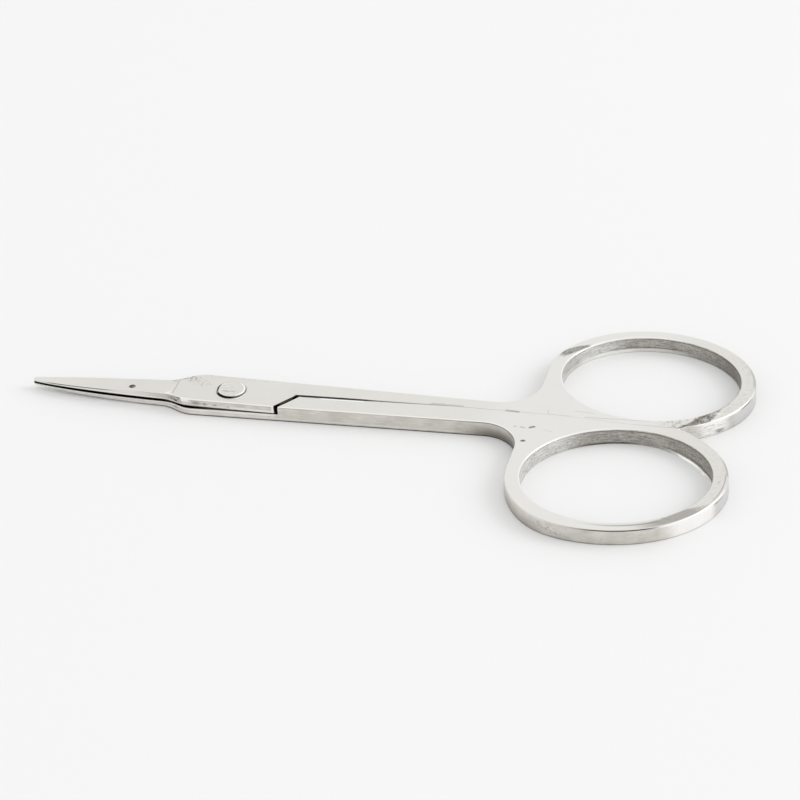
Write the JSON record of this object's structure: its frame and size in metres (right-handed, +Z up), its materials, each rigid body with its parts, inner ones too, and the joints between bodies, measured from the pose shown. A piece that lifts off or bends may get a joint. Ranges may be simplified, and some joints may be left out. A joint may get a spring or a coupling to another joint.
{
  "type": "manicure scissors",
  "caption": "Straight, narrow manicure scissors of flat stainless steel, pivoting on a rivet, with oval finger bows.",
  "frame": {"origin": "on the rivet's axis, in the plane that the closed scissors lie on, which is the lower half's outer face and the rivet's flush foot", "axes": "+X from the pivot to the finger bows, -X to the blade tips, +Y to the upper half's bow, +Z up from the table through the scissors' thickness, along the rivet"},
  "size_m": [0.0901, 0.0443, 0.0024],
  "materials": {
    "lower_steel": "satin ground stainless steel, edges tumbled",
    "upper_steel": "satin ground stainless steel, edges tumbled",
    "rivet_steel": "turned and peened steel"
  },
  "bodies": {
    "lower_half": {"lower_blade": "lower_steel", "pivot_rivet": "rivet_steel"},
    "upper_half": {"upper_blade": "upper_steel"}
  },
  "joints": [
    {"name": "pivot", "type": "hinge", "parent": "lower_half", "child": "upper_half", "pos_m": [0, 0, 0.00105], "axis": [0, 0, 1], "range_deg": [0, 130]}
  ]
}
